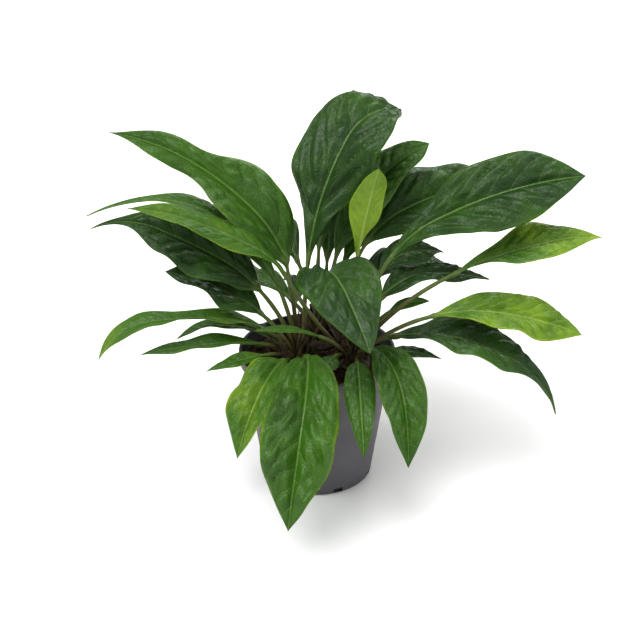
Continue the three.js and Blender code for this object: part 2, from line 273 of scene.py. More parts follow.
def soft_noise(table, x, y):
    """Smooth noise from -1 to 1: S-curve blends between the table's numbers at whole x and y."""
    size = len(table)
    ix, iy = np.floor(x).astype(int), np.floor(y).astype(int)
    tx, ty = smooth(0, 1, x - ix), smooth(0, 1, y - iy)

    def corner(dx, dy):
        return table[(ix + dx) % size, (iy + dy) % size]

    low = corner(0, 0) * (1 - tx) + corner(1, 0) * tx
    high = corner(0, 1) * (1 - tx) + corner(1, 1) * tx
    return low * (1 - ty) + high * ty


def grid_faces(rows, columns, closed):
    """Corner numbers of the quads over a grid of rows and columns, joined round if closed."""
    row, column = np.meshgrid(np.arange(rows - 1), np.arange(columns if closed else columns - 1),
                              indexing="ij")
    after = (column + 1) % columns
    a, b = row * columns + column, row * columns + after
    return np.stack([a, b, b + columns, a + columns], axis=-1).reshape(-1, 4)


def fan_faces(first, count, pole, outward):
    """Corner numbers of the triangles that join a ring of count points to its pole."""
    a = first + np.arange(count)
    b = first + (np.arange(count) + 1) % count
    corners = (a, b) if outward else (b, a)
    return np.stack([*corners, np.full(count, pole)], axis=-1)


def block_faces(count):
    """Corner numbers of the quads of a row of blocks, eight corners to a block."""
    return (BLOCK_QUADS[None] + 8 * np.arange(count)[:, None, None]).reshape(-1, 4)


def make_piece(name, points, face_groups, material, values=None, uv=None):
    """A smooth-shaded mesh object from points and arrays of faces, with named values per point."""
    mesh = bpy.data.meshes.new(name)
    faces = [face for group in face_groups for face in group.tolist()]
    mesh.from_pydata(points.tolist(), [], faces)
    mesh.materials.append(material)
    mesh.polygons.foreach_set("use_smooth", np.ones(len(faces), bool))
    for label, column in (values or {}).items():
        layer = mesh.attributes.new(label, "FLOAT", "POINT")
        layer.data.foreach_set("value", np.ascontiguousarray(column, np.float32))
    if uv is not None:
        corner = np.empty(len(mesh.loops), int)
        mesh.loops.foreach_get("vertex_index", corner)
        layer = mesh.uv_layers.new(name="UVMap")
        layer.data.foreach_set("uv", uv[corner].astype(np.float32).ravel())
    mesh.update()
    piece = bpy.data.objects.new(name, mesh)
    bpy.context.scene.collection.objects.link(piece)
    return piece


def place(piece, node):
    """Puts a finished piece on the frame in the place of its CAD node."""
    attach(piece, "root")
    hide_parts(node)


# ------------------------------------------------------------------------------- node tools


class NodeTree:
    """A short way to add and link shader nodes in one material or group."""

    def __init__(self, tree):
        self.tree = tree
        tree.nodes.clear()

    def add(self, kind, inputs=None, **settings):
        """A node of the given kind. Each input is linked from a socket or set to a value."""
        node = self.tree.nodes.new(kind)
        for key, value in settings.items():
            setattr(node, key, value)
        for key, value in (inputs or {}).items():
            if isinstance(value, bpy.types.NodeSocket):
                self.tree.links.new(value, node.inputs[key])
            else:
                node.inputs[key].default_value = value
        return node

    def maths(self, operation, *values, clamp=False):
        """One Math node's result."""
        node = self.add("ShaderNodeMath", dict(enumerate(values)), operation=operation,
                        use_clamp=clamp)
        return node.outputs[0]

    def spread(self, value, low, high, to_low=0.0, to_high=1.0):
        """A value carried from one range to another along an S-curve."""
        node = self.add("ShaderNodeMapRange", {"Value": value, "From Min": low, "From Max": high,
                                               "To Min": to_low, "To Max": to_high},
                        interpolation_type="SMOOTHSTEP")
        return node.outputs["Result"]

    def blend(self, share, first, second):
        """Two colours mixed."""
        node = self.add("ShaderNodeMix", data_type="RGBA")
        for key, value in ((0, share), (6, first), (7, second)):
            if isinstance(value, bpy.types.NodeSocket):
                self.tree.links.new(value, node.inputs[key])
            else:
                node.inputs[key].default_value = value
        return node.outputs[2]

    def noise(self, scale, detail=3.0, roughness=0.55, vector=None):
        """A noise texture's value, on Object coordinates unless another vector is given."""
        source = vector or self.add("ShaderNodeTexCoord").outputs["Object"]
        node = self.add("ShaderNodeTexNoise", {"Vector": source, "Scale": scale, "Detail": detail,
                                               "Roughness": roughness})
        return node.outputs["Fac"]

    def attribute(self, name):
        """A named value kept on the mesh."""
        return self.add("ShaderNodeAttribute", attribute_name=name).outputs["Fac"]


def new_group(name, inputs, outputs):
    """A shader node group with named sockets, its NodeTree, and its input and output nodes."""
    tree = bpy.data.node_groups.new(name, "ShaderNodeTree")
    nodes = NodeTree(tree)
    for label, (kind, default) in inputs.items():
        tree.interface.new_socket(label, in_out="INPUT", socket_type=kind).default_value = default
    for label, kind in outputs.items():
        tree.interface.new_socket(label, in_out="OUTPUT", socket_type=kind)
    return tree, nodes, nodes.add("NodeGroupInput").outputs, nodes.add("NodeGroupOutput").inputs


def new_material(name, colour, roughness, bump, strength, distance, **shader_values):
    """A material whose colour, roughness and bump height are built by the given functions."""
    material = bpy.data.materials.new(name)
    material.use_nodes = True
    nodes = NodeTree(material.node_tree)
    shader = nodes.add("ShaderNodeBsdfPrincipled")
    for key, value in shader_values.items():
        shader.inputs[key.replace("_", " ")].default_value = value
    output = nodes.add("ShaderNodeOutputMaterial")
    links = material.node_tree.links
    links.new(shader.outputs[0], output.inputs["Surface"])
    links.new(colour(nodes), shader.inputs["Base Color"])
    links.new(roughness(nodes), shader.inputs["Roughness"])
    relief = nodes.add("ShaderNodeBump", {"Height": bump(nodes), "Strength": strength,
                                          "Distance": distance})
    links.new(relief.outputs[0], shader.inputs["Normal"])
    return material


# ------------------------------------------------------------------------------- leaf material


def leaf_pattern_group(settings):
    """The node group that colours a leaf from the values kept on its mesh.

    vein counts the side veins, across runs from 0 at the midrib to 1 at the margin, blade is 0 on
    the stalk and 1 on the blade, under is 1 on the lower face, and age is 0 for an old leaf.
    """
    colour = "NodeSocketColor"
    tree, nodes, given, result = new_group(
        "leaf_pattern", {"Age": ("NodeSocketFloat", 0.3)},
        {"Color": colour, "Roughness": "NodeSocketFloat", "Height": "NodeSocketFloat"})
    link = tree.links.new
    vein, across = nodes.attribute("vein"), nodes.attribute("across")
    blade, under = nodes.attribute("blade"), nodes.attribute("under")
    # Large noise patches: partly the blade's own uneven tone, partly painted light for the brighter
    # sun-facing parts.
    mottle_and_painted_light = nodes.noise(17.0, 4.0)
    grain = nodes.noise(190.0, 3.0)

    # The age a spot looks: older or younger in large noise patches, which are partly the blade's
    # own uneven tone and partly painted light, the brighter patches standing in for sun-facing
    # parts; younger along the margin.
    margin = nodes.spread(across, 0.9, 1.0)
    patch_and_painted_light = nodes.maths("MULTIPLY", nodes.maths("SUBTRACT", mottle_and_painted_light, 0.5), 0.85)
    looks = nodes.maths("ADD", given["Age"], patch_and_painted_light)
    looks = nodes.maths("ADD", looks, nodes.maths("MULTIPLY", margin, 0.42), clamp=True)
    young = nodes.spread(looks, 0.45, 1.0)
    vein_green = nodes.blend(young, settings.rib_green, settings.pale_rib)
    grown = nodes.spread(looks, 0.0, 0.5)
    skin = nodes.blend(grown, settings.old_green, settings.full_green)
    skin = nodes.blend(young, skin, settings.new_green)

    # Side veins are fine pale lines at whole vein counts, and fade before the margin.
    off = nodes.maths("ABSOLUTE", nodes.maths("SUBTRACT", nodes.maths("FRACT", vein), 0.5))
    line = nodes.spread(off, 0.455, 0.5)
    reach = nodes.spread(across, 0.9, 0.55)
    line = nodes.maths("MULTIPLY", nodes.maths("MULTIPLY", line, reach), blade)
    rib = nodes.maths("MULTIPLY", nodes.spread(nodes.attribute("rib"), 0.95, 0.3), blade)
    pale = nodes.maths("MAXIMUM", nodes.maths("MULTIPLY", rib, 0.6),
                       nodes.maths("MULTIPLY", line, 0.26))
    skin = nodes.blend(pale, skin, vein_green)

    # The lower face is paler and duller, and the stalk runs from green to brown at its foot.
    skin = nodes.blend(nodes.maths("MULTIPLY", under, 0.3), skin, settings.rib_green)
    stalk = nodes.blend(nodes.attribute("height"), settings.stalk_brown, settings.stalk_green)
    skin = nodes.blend(nodes.maths("SUBTRACT", 1.0, blade), skin, stalk)
    link(skin, result["Color"])

    gloss = nodes.spread(grain, 0.3, 0.7, 0.34, 0.5)
    link(nodes.maths("ADD", gloss, nodes.maths("MULTIPLY", under, 0.22)), result["Roughness"])
    net = nodes.add("ShaderNodeTexVoronoi",
                    {"Vector": nodes.add("ShaderNodeTexCoord").outputs["Object"], "Scale": 230.0},
                    feature="DISTANCE_TO_EDGE").outputs["Distance"]
    cells = nodes.maths("MULTIPLY", nodes.spread(net, 0.0, 0.16), 0.5)
    crinkle = nodes.maths("ADD", nodes.noise(70.0, 2.0), nodes.maths("MULTIPLY", grain, 0.12))
    crinkle = nodes.maths("ADD", crinkle, nodes.maths("MULTIPLY", cells, 0.22))
    link(nodes.maths("SUBTRACT", crinkle, nodes.maths("MULTIPLY", line, 0.3)), result["Height"])
    return tree


def leaf_material(name, age, pattern):
    """One leaf's material: the shared pattern with that leaf's age."""
    made = {}

    def output(nodes, label):
        if "pattern" not in made:
            made["pattern"] = nodes.add("ShaderNodeGroup", node_tree=pattern)
            made["pattern"].inputs["Age"].default_value = age
        return made["pattern"].outputs[label]

    return new_material(
        name, lambda nodes: output(nodes, "Color"), lambda nodes: output(nodes, "Roughness"),
        lambda nodes: output(nodes, "Height"), 0.55, 0.004,
        Specular_IOR_Level=0.34, Coat_Weight=0.05, Coat_Roughness=0.2)


# ------------------------------------------------------------------------------- leaves


def leaf_tracks(node):
    """The four lines along a leaf's CAD solid: left margin, top, right margin and underside.

    The solid is welded, and its points are put in levels by how many edges lie between them and
    the tip, so each level is one ring. The tip is the one point with four neighbours of which two
    have four themselves. A midrib point is joined to one point of the next ring, and a margin
    point to three, two of them on the midrib's lines and the third on its own.
    """
    mesh = frame["nodes"][node].data
    places = np.empty(3 * len(mesh.vertices))
    mesh.vertices.foreach_get("co", places)
    corners = np.empty(3 * len(mesh.polygons), int)
    mesh.polygons.foreach_get("vertices", corners)
    places = places.reshape(-1, 3)
    _, first, welded = np.unique(np.round(places / WELD).astype(int), axis=0,
                                 return_index=True, return_inverse=True)
    points, triangles = places[first], welded.ravel()[corners].reshape(-1, 3)
    joined = np.zeros((len(points), len(points)), bool)
    joined[triangles, np.roll(triangles, 1, axis=1)] = True
    joined |= joined.T

    four = joined.sum(axis=1) == 4
    tips = four & (joined[:, four].sum(axis=1) == 2)
    level = np.where(tips, 0, -1)
    while (level < 0).any() and level.max() < len(points):
        reached = joined[level == level.max()].any(axis=0) & (level < 0)
        level[reached] = level.max() + 1
    if tips.sum() != 1 or (level < 0).any() or (np.bincount(level)[1:] != 4).any():
        raise RuntimeError(f"{node} isn't made of rings of four points")

    ring = np.flatnonzero(level == level.max())
    ahead = joined[np.ix_(ring, level == level.max() - 1)].sum(axis=1)
    left, right = ring[ahead == 3]
    top, under = ring[ahead == 1]
    rows = [[left, top, right, under]]
    for step in range(level.max() - 1, 0, -1):
        left, top, right, under = rows[-1]
        ring = level == step
        top_next, under_next = (np.flatnonzero(joined[k] & ring)[0] for k in (top, under))
        ring = ring & (np.arange(len(points)) != top_next) & (np.arange(len(points)) != under_next)
        rows.append([np.flatnonzero(joined[left] & ring)[0], top_next,
                     np.flatnonzero(joined[right] & ring)[0], under_next])
    rows.append([np.flatnonzero(tips)[0]] * 4)
    tracks = points[np.array(rows).T]

    lift = (tracks[0] + tracks[2] - tracks[1] - tracks[3]) * (tracks[1] - tracks[3])
    if lift.sum() < 0:
        tracks = tracks[[0, 3, 2, 1]]
    forward = np.diff(tracks[1], axis=0)
    turn = np.cross(tracks[2] - tracks[0], tracks[1] - tracks[3])[:-1] * forward
    if turn.sum() > 0:
        tracks = tracks[[2, 1, 0, 3]]
    return tracks


def leaf_frame(tracks, steps):
    """The middle line of a leaf and what stands across it, at even steps from foot to tip.

    Gives the CAD ring number, the middle, the unit vectors across and up, the half width, the
    rise of each margin above the middle, and the distance along.
    """
    at = np.linspace(0, tracks.shape[1] - 1, steps)
    left, top, right, under = (through(track, at) for track in tracks)
    middle = (top + under) / 2
    forward = unit(np.gradient(middle, axis=0))
    across = right - left
    across[-1] = across[-2]
    across = unit(across - forward * (across * forward).sum(axis=1, keepdims=True))
    up = np.cross(across, forward)
    half = 0.5 * ((right - left) * across).sum(axis=1)
    rise_left = ((left - middle) * up).sum(axis=1)
    rise_right = ((right - middle) * up).sum(axis=1)
    along = np.concatenate([[0], np.cumsum(np.linalg.norm(np.diff(middle, axis=0), axis=1))])
    return at, middle, across, up, half, rise_left, rise_right, along


def leaf_surface(node, settings, quilting, outline):
    """The fine skin of one leaf, with the values that its colours follow.

    A section is a closed loop: over the upper face from margin to margin and back underneath.
    Its height is the CAD leaf's fold, plus an arch over each half, plus quilting, which is a
    power of a sine between one side vein and the next. A round rib fades from the stalk to the
    tip. Side veins leave the midrib and bend forward as they near the margin.
    """
    random = seeded(node)
    tracks = leaf_tracks(node)
    last = tracks.shape[1] - 1
    rough_length = np.linalg.norm(np.diff(tracks[1], axis=0), axis=1).sum()
    steps = int(np.clip(rough_length / RING_STEP, 44, 132))
    at, middle, across, up, half, rise_left, rise_right, along = leaf_frame(tracks, steps)
    neck = np.interp(STALK_RINGS, at, along)
    share = np.clip((along - neck) / (along[-1] - neck), 0, 1)
    blade = smooth(0.0, 0.09, share)
    shape = through(np.array(outline)[:, None], share * (len(outline) - 1))[:, 0]
    half = half * (1 + (shape - 1) * smooth(0, 0.06, share))
    sway = soft_noise(lattice(int(random.integers(1 << 30))), share * 7, np.zeros(steps))
    half = half * (1 + 0.07 * sway * smooth(0.05, 0.3, share))

    line = np.linspace(-1, 1, 2 * SECTION_HALF - 1)
    line = np.sign(line) * np.abs(line) ** 1.25
    loop = np.concatenate([line, line[-2:0:-1]])
    upper = np.concatenate([np.ones(len(line)), -np.ones(len(line) - 2)])
    side = np.abs(loop)[None, :]

    out = half[:, None] * side
    spacing = settings.vein_spacing * np.clip(half.max() / 0.04, 0.55, 1.1)
    offset = np.where(loop > 0, random.uniform(0.2, 0.8), 0.0)[None, :]
    vein = (along[:, None] - neck - 1.1 * out - 8 * out**2) / spacing + offset
    drift = lattice(int(random.integers(1 << 30)))
    vein = vein + 0.28 * soft_noise(drift, vein * 0.7 + 31.0, side * 2.0 + 5.0 * (loop > 0))

    pillow = np.abs(np.sin(np.pi * vein)) ** 0.75
    number = np.floor(vein)
    strength = 0.65 + 0.5 * (1 + soft_noise(drift, number, 7.0 + 9.0 * (loop > 0))) / 2
    reach = smooth(0.03, 0.3, side) * (1 - smooth(0.78, 0.97, side))
    cross = np.sin(np.pi * (side * 5.2 + 1.3 * soft_noise(drift, vein, side * 3 + 17.0)))
    size = np.clip(half[:, None] / 0.035, 0.12, 1.25)
    quilt = quilting * settings.quilt_height * size * reach * (
        pillow * strength + 0.34 * cross * pillow)
    wave = soft_noise(drift, along[:, None] / 0.036 + 5.5 * (loop > 0), np.full_like(side, 41.0))
    ruffle = RUFFLE * size * wave * side**1.9

    rise = np.where(loop > 0, rise_right[:, None], rise_left[:, None]) * side**1.35
    arch = settings.arch * half[:, None] * np.sin(np.pi * side**0.9)
    groove = -0.0009 * size * np.exp(-(out / 0.0022) ** 2)
    sheet = blade[:, None] * (arch + quilt + ruffle + groove) + rise

    rib = settings.rib_radius * (1 - 0.8 * share)[:, None]
    stalk_radius = np.maximum(half, 0.0024)[:, None]
    radius = rib * blade[:, None] + stalk_radius * (1 - blade[:, None])
    body = np.sqrt(np.clip(1 - (out / radius) ** 2, 0, 1)) * radius
    body_top = body * (1 - 0.9 * blade[:, None])
    edge = np.sqrt(np.clip(1 - side**6, 0, 1))
    lamina = 0.5 * settings.thickness * edge
    height = sheet + np.where(upper > 0, np.maximum(body_top, lamina), -np.maximum(body, lamina))
    height = np.where(side >= 1, sheet, height)

    points = (middle[:, None] + across[:, None] * (half[:, None] * loop)[..., None]
              + up[:, None] * height[..., None])
    tip = tracks[1, last]
    foot = points[0].mean(axis=0)
    rows, columns = len(points) - 1, len(loop)
    vertices = np.concatenate([points[:-1].reshape(-1, 3), [tip, foot]])
    faces = grid_faces(rows, columns, closed=True)
    tip_fan = fan_faces((rows - 1) * columns, columns, rows * columns, outward=True)
    foot_fan = fan_faces(0, columns, rows * columns + 1, outward=False)

    def column(values, at_tip, at_foot):
        table = np.broadcast_to(values, (steps, columns))[:-1]
        return np.concatenate([table.ravel(), [at_tip, at_foot]])

    values = {
        "vein": column(vein, 0, 0),
        "across": column(side, 1, 0),
        "blade": column(blade[:, None], 1, 0),
        "under": column((upper < 0)[None, :].astype(float), 0, 0),
        "rib": column(out / (rib + 0.0005), 1, 0),
        "height": column(np.clip(along / max(neck, 1e-6), 0, 1)[:, None], 1, 0),
    }
    uv = np.stack([column((loop[None, :] + 1) / 2, 0.5, 0.5),
                   column(along[:, None] / along[-1], 1, 0)], axis=1)
    return vertices, [faces, tip_fan, foot_fan], values, uv


class ANTHURIUM_OT_leaves(bpy.types.Operator):
    """Makes every leaf, stalk and blade in one skin, over its CAD solid"""

    bl_idname = "anthurium.leaves"
    bl_label = "Make Leaves"

    def execute(self, context):
        settings = context.scene.anthurium_leaves
        pattern = leaf_pattern_group(settings)
        for node in LEAF_NODES:
            habit = {"age": AGE_OF_SLOT[SLOT_OF[node]], "quilting": 1.0,
                     "outline": USUAL_OUTLINE}
            habit.update(LEAF_HABITS.get(node, {}))
            vertices, faces, values, uv = leaf_surface(
                node, settings, habit["quilting"], habit["outline"])
            material = leaf_material(f"{node}_skin", habit["age"], pattern)
            place(make_piece(f"{node}_skin", vertices, faces, material, values, uv), node)
        return {"FINISHED"}


# ------------------------------------------------------------------------------- crowns


def crown_material(settings):
    """Rough brown stem and dry sheath, mottled light and dark at random, both colours darkened
    beyond the stem's own brown as painted shade of the plant's shaded centre.
    """
    def colour(nodes):
        share = nodes.spread(nodes.noise(120.0, 5.0), 0.35, 0.65)
        return nodes.blend(share, settings.dark, settings.light)

    return new_material(
        "crown_stem", colour, lambda nodes: nodes.spread(nodes.noise(200.0), 0.3, 0.7, 0.6, 0.85),
        lambda nodes: nodes.noise(340.0, 5.0), 0.7, 0.0015)


def crown_surface(node):
    """A lumpy dome. Its radius at an angle and height is the CAD crown's, less a little for a
    rounded shoulder, times smooth noise."""
    low, high = (np.array(corner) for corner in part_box(node))
    centre, radius = (low + high)[:2] / 2, (high - low)[:2].mean() / 2
    turn = np.linspace(0, 2 * np.pi, 72, endpoint=False)[None, :]
    share = np.linspace(0.02, 1, 18)[:, None]
    outline = np.sin(np.pi / 2 * share) ** 0.75
    table = lattice(11 + len(node))
    lump = soft_noise(table, 4 + 3 * np.cos(turn), 4 + 3 * np.sin(turn) + 5 * share)
    reach = radius * outline * (0.93 + 0.07 * lump)
    top = high[2] - 0.0006
    level = top - (top - low[2]) * (1 - np.cos(np.pi / 2 * share)) - 0.0008 * (lump + 1)
    level = np.broadcast_to(level, reach.shape)
    points = np.stack([centre[0] + reach * np.cos(turn), centre[1] + reach * np.sin(turn), level],
                      axis=-1)
    count = turn.size
    flat = points.reshape(-1, 3)
    vertices = np.concatenate([flat, [[*centre, top], [*centre, low[2]]]])
    faces = grid_faces(len(points), count, closed=True)[:, ::-1]
    cap = fan_faces(0, count, len(flat), outward=True)
    base = fan_faces(len(flat) - count, count, len(flat) + 1, outward=False)
    return vertices, [faces, cap, base]


def sheath_surface(node, settings):
    """Dry sheaths that stand round a crown. A section is a flat oval whose width shrinks with
    height to a power, and its middle leans out with the square of the height."""
    random = seeded(node + "sheaths")
    low, high = (np.array(corner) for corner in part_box(node))
    centre, radius = (low + high)[:2] / 2, (high - low)[:2].mean() / 2
    count, rows, columns = settings.sheaths, 8, 8

    def each(lowest, highest):
        return random.uniform(lowest, highest, (count, 1, 1))

    rise = np.linspace(0, 1, rows)[None, :, None]
    turn = np.linspace(0, 2 * np.pi, columns, endpoint=False)[None, None, :]
    tall, half = settings.sheath_height * each(0.35, 1), each(0.0025, 0.0055)
    heading, away = each(0, 2 * np.pi), radius * each(0.3, 0.9)
    width = half * np.sqrt(1 - 0.96 * rise**1.8)
    side = width * np.cos(turn)
    out = away + tall * each(-0.1, 0.55) * rise**2 - side**2 / 0.008 + 0.0005 * np.sin(turn)
    side = side + tall * each(-0.3, 0.3) * rise**1.5
    level = np.broadcast_to(high[2] - 0.004 + tall * rise, out.shape)
    points = np.stack([centre[0] + out * np.cos(heading) - side * np.sin(heading),
                       centre[1] + out * np.sin(heading) + side * np.cos(heading), level], axis=-1)
    ends = points[:, [0, -1]].mean(axis=2)
    vertices = np.concatenate([points.reshape(count, -1, 3), ends], axis=1)
    step = vertices.shape[1] * np.arange(count)[:, None, None]
    wall = grid_faces(rows, columns, closed=True)[:, ::-1]
    foot = fan_faces(0, columns, rows * columns, outward=True)
    tip = fan_faces((rows - 1) * columns, columns, rows * columns + 1, outward=False)
    return vertices.reshape(-1, 3), [(part + step).reshape(-1, part.shape[1])
                                     for part in (wall, foot, tip)]


class ANTHURIUM_OT_crowns(bpy.types.Operator):
    """Makes the short thick stems that the leaves grow from, with old sheaths round them"""

    bl_idname = "anthurium.crowns"
    bl_label = "Make Crowns"

    def execute(self, context):
        settings = context.scene.anthurium_crowns
        material = crown_material(settings)
        for node in CROWN_NODES:
            vertices, faces = crown_surface(node)
            place(make_piece(f"{node}_stem", vertices, faces, material), node)
            vertices, faces = sheath_surface(node, settings)
            sheaths = make_piece(f"{node}_sheaths", vertices, faces, material)
            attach(sheaths, "root")
        return {"FINISHED"}


# ------------------------------------------------------------------------------- soil


def soil_material(name, dark, light):
    """Damp crumbly mix, or bark, mixed from two colours."""
    def colour(nodes):
        return nodes.blend(nodes.spread(nodes.noise(90.0, 6.0, 0.7), 0.35, 0.7), dark, light)

    return new_material(
        name, colour, lambda nodes: nodes.spread(nodes.noise(150.0), 0.3, 0.7, 0.75, 0.98),
        lambda nodes: nodes.noise(420.0, 6.0, 0.7), 0.9, 0.002)


def soil_height(settings, x, y):
    """Height of the top of the mix: the CAD mound, with two sizes of smooth noise on it."""
    table = lattice(5)
    away = np.clip(np.hypot(x, y) / (SOIL_HIGH[0] - SOIL_LOW[0]) * 2, 0, 1)
    mound = SOIL_HIGH[2] - MOUND + MOUND * (1 - away**2)
    coarse = soft_noise(table, x / 0.013 + 20, y / 0.013 + 20)
    fine = soft_noise(table, x / 0.004 + 9, y / 0.004 + 9)
    return mound - settings.relief * (0.5 - 0.35 * coarse - 0.15 * fine)


def soil_surface(settings):
    """A filled drum: rings of points out from the middle of the top, then down the wall."""
    radius_top = (SOIL_HIGH[0] - SOIL_LOW[0]) / 2
    radius_low = radius_top - 0.02
    turn = np.linspace(0, 2 * np.pi, 240, endpoint=False)[None, :]
    out = np.linspace(0.01, 1, 90)[:, None] * radius_top
    x, y = out * np.cos(turn), out * np.sin(turn)
    top = np.stack([x, y, soil_height(settings, x, y)], axis=-1)
    base = np.stack([radius_low * np.cos(turn), radius_low * np.sin(turn),
                     np.full_like(turn, SOIL_LOW[2])], axis=-1)
    rings = np.concatenate([top, base])
    count = turn.size
    flat = rings.reshape(-1, 3)
    middle = soil_height(settings, np.zeros(1), np.zeros(1))[0]
    vertices = np.concatenate([flat, [[0, 0, middle], [0, 0, SOIL_LOW[2]]]])
    faces = grid_faces(len(rings), count, closed=True)[:, ::-1]
    cap = fan_faces(0, count, len(flat), outward=True)
    floor = fan_faces(len(flat) - count, count, len(flat) + 1, outward=False)
    return vertices, [faces, cap, floor]


def chip_points(settings):
    """Bark chips: a cube's eight corners, squashed, turned and set down at random on the mix."""
    random = seeded("bark chips")
    count = settings.chips
    size = settings.chip_size * random.uniform(0.3, 1, (count, 1, 1)) * np.array([1, 0.55, 0.28])
    shape = BLOCK_CORNERS[None] * size * random.uniform(0.7, 1.2, (count, 8, 3))
    turn, tilt = random.uniform(0, 2 * np.pi, count), random.normal(0, 0.35, count)
    c, s = np.cos(tilt)[:, None], np.sin(tilt)[:, None]
    x, z = shape[..., 0] * c - shape[..., 2] * s, shape[..., 0] * s + shape[..., 2] * c
    y = shape[..., 1]
    c, s = np.cos(turn)[:, None], np.sin(turn)[:, None]
    away = (SOIL_HIGH[0] - SOIL_LOW[0]) / 2 * 0.92 * np.sqrt(random.uniform(0, 1, count))
    angle = random.uniform(0, 2 * np.pi, count)
    px, py = away * np.cos(angle), away * np.sin(angle)
    pz = soil_height(settings, px, py) + 0.0004
    points = np.stack([px[:, None] + x * c - y * s, py[:, None] + x * s + y * c,
                       pz[:, None] + z], axis=-1)
    return points.reshape(-1, 3), block_faces(count)


class ANTHURIUM_OT_soil(bpy.types.Operator):
    """Makes the potting mix and the bark chips on top of it"""

    bl_idname = "anthurium.soil"
    bl_label = "Make Soil"

    def execute(self, context):
        settings = context.scene.anthurium_soil
        vertices, faces = soil_surface(settings)
        # The mix's paler flecks take the bark colour, which is darkened as painted shade.
        mix = soil_material("potting_mix", settings.colour, settings.chip_and_painted_shade_colour)
        place(make_piece("soil_mix", vertices, faces, mix), "soil")
        points, quads = chip_points(settings)
        # The bark runs from its colour, darkened as painted shade, to a paler bark.
        bark = soil_material("bark", settings.chip_and_painted_shade_colour, PALE_BARK)
        chips = make_piece("soil_bark_chips", points, [quads], bark)
        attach(chips, "root")
        return {"FINISHED"}


# ------------------------------------------------------------------------------- pot


def pot_material(settings):
    """Matte moulded plastic with faint cloudy flow marks and a fine grain."""
    def colour(nodes):
        cloud = nodes.spread(nodes.noise(9.0, 4.0), 0.3, 0.7)
        pale = [c * 1.28 for c in settings.colour[:3]] + [1.0]
        dark = [c * 0.9 for c in settings.colour[:3]] + [1.0]
        return nodes.blend(cloud, dark, pale)

    return new_material(
        "pot_plastic", colour,
        lambda nodes: nodes.spread(nodes.noise(30.0, 5.0), 0.3, 0.7, 0.42, 0.6),
        lambda nodes: nodes.noise(900.0, 2.0), 0.25, 0.0003, Specular_IOR_Level=0.45)


def arc(centre, radius, start, end, count=6):
    """Points on an arc in the profile's plane, angles in degrees."""
    angle = np.radians(np.linspace(start, end, count))
    return np.stack([centre[0] + radius * np.cos(angle), centre[1] + radius * np.sin(angle)],
                    axis=1)


def pot_profile(settings):
    """The pot's outline from the middle of its underside, up the outside, over the rolled lip and
    down the inside to the middle of its floor, as [radius, height] rows in metres."""
    lip = POT_HIGH[0]
    top = POT_HIGH[2]
    foot, wall = lip - 0.027, settings.wall
    shoulder, wall_top = top - 0.013, lip - 0.005
    pieces = [
        [[0, 0], [0.0295, 0]],
        arc((0.0295, 0.0012), 0.0012, -90, -10, 4),
        [[0.0325, 0.003], [foot - 0.0085, 0.003]],
        [[foot - 0.0065, 0.0]],
        arc((foot - 0.0058, 0.0058), 0.0058, -90, 0, 9),
        [[wall_top - 0.0004, shoulder - 0.004]],
        arc((wall_top + 0.0012, shoulder - 0.0012), 0.0016, 180, 90, 5),
        arc((lip - 0.0012, shoulder + 0.0014), 0.0012, -60, 0, 4),
        arc((lip - 0.0013, top - 0.0013), 0.0013, 0, 90, 6),
        arc((lip - wall - 0.0008, top - 0.0014), 0.0014, 100, 180, 5),
        [[lip - wall - 0.0026, shoulder + 0.002], [wall_top - wall, shoulder - 0.001]],
        arc((foot - wall - 0.0025, 0.0085), 0.0025, 0, -90, 6),
        [[0, 0.006]],
    ]
    return np.concatenate([np.array(piece, float) for piece in pieces])


def pot_surface(settings):
    """The profile turned about +Z: x is radius times the cosine of the turn and y its sine."""
    profile = pot_profile(settings)
    inner = profile[1:-1]
    turn = np.linspace(0, 2 * np.pi, 192, endpoint=False)
    rings = np.stack([inner[:, :1] * np.cos(turn), inner[:, :1] * np.sin(turn),
                      np.repeat(inner[:, 1:], len(turn), axis=1)], axis=-1)
    flat = rings.reshape(-1, 3)
    vertices = np.concatenate([flat, [[0, 0, profile[0, 1]], [0, 0, profile[-1, 1]]]])
    faces = grid_faces(len(rings), len(turn), closed=True)
    under = fan_faces(0, len(turn), len(flat), outward=False)
    floor = fan_faces(len(flat) - len(turn), len(turn), len(flat) + 1, outward=True)
    return vertices, [faces, under, floor]


def solid_volume(mesh):
    """Volume of a closed mesh: the sum of the signed pyramids from the origin to its triangles."""
    mesh.calc_loop_triangles()
    corners = np.empty(3 * len(mesh.loop_triangles), dtype=np.int32)
    mesh.loop_triangles.foreach_get("vertices", corners)
    points = np.empty(3 * len(mesh.vertices), dtype=np.float32)
    mesh.vertices.foreach_get("co", points)
    a, b, c = points.reshape(-1, 3)[corners.reshape(-1, 3)].astype(float).transpose(1, 0, 2)
    return (a * np.cross(b, c)).sum() / 6


def drain_cutters():
    """Blocks evenly round the foot, where the drainage slots are cut through the pot."""
    turn = 2 * np.pi * (np.arange(DRAIN_SLOTS) + 0.5) / DRAIN_SLOTS
    block = BLOCK_CORNERS * [0.016, 0.012, 0.007] + [POT_HIGH[0] - 0.025, 0, 0.005]
    x = block[None, :, 0] * np.cos(turn)[:, None] - block[None, :, 1] * np.sin(turn)[:, None]
    y = block[None, :, 0] * np.sin(turn)[:, None] + block[None, :, 1] * np.cos(turn)[:, None]
    points = np.stack([x, y, np.broadcast_to(block[None, :, 2], x.shape)], axis=-1)
    return points.reshape(-1, 3), block_faces(DRAIN_SLOTS)


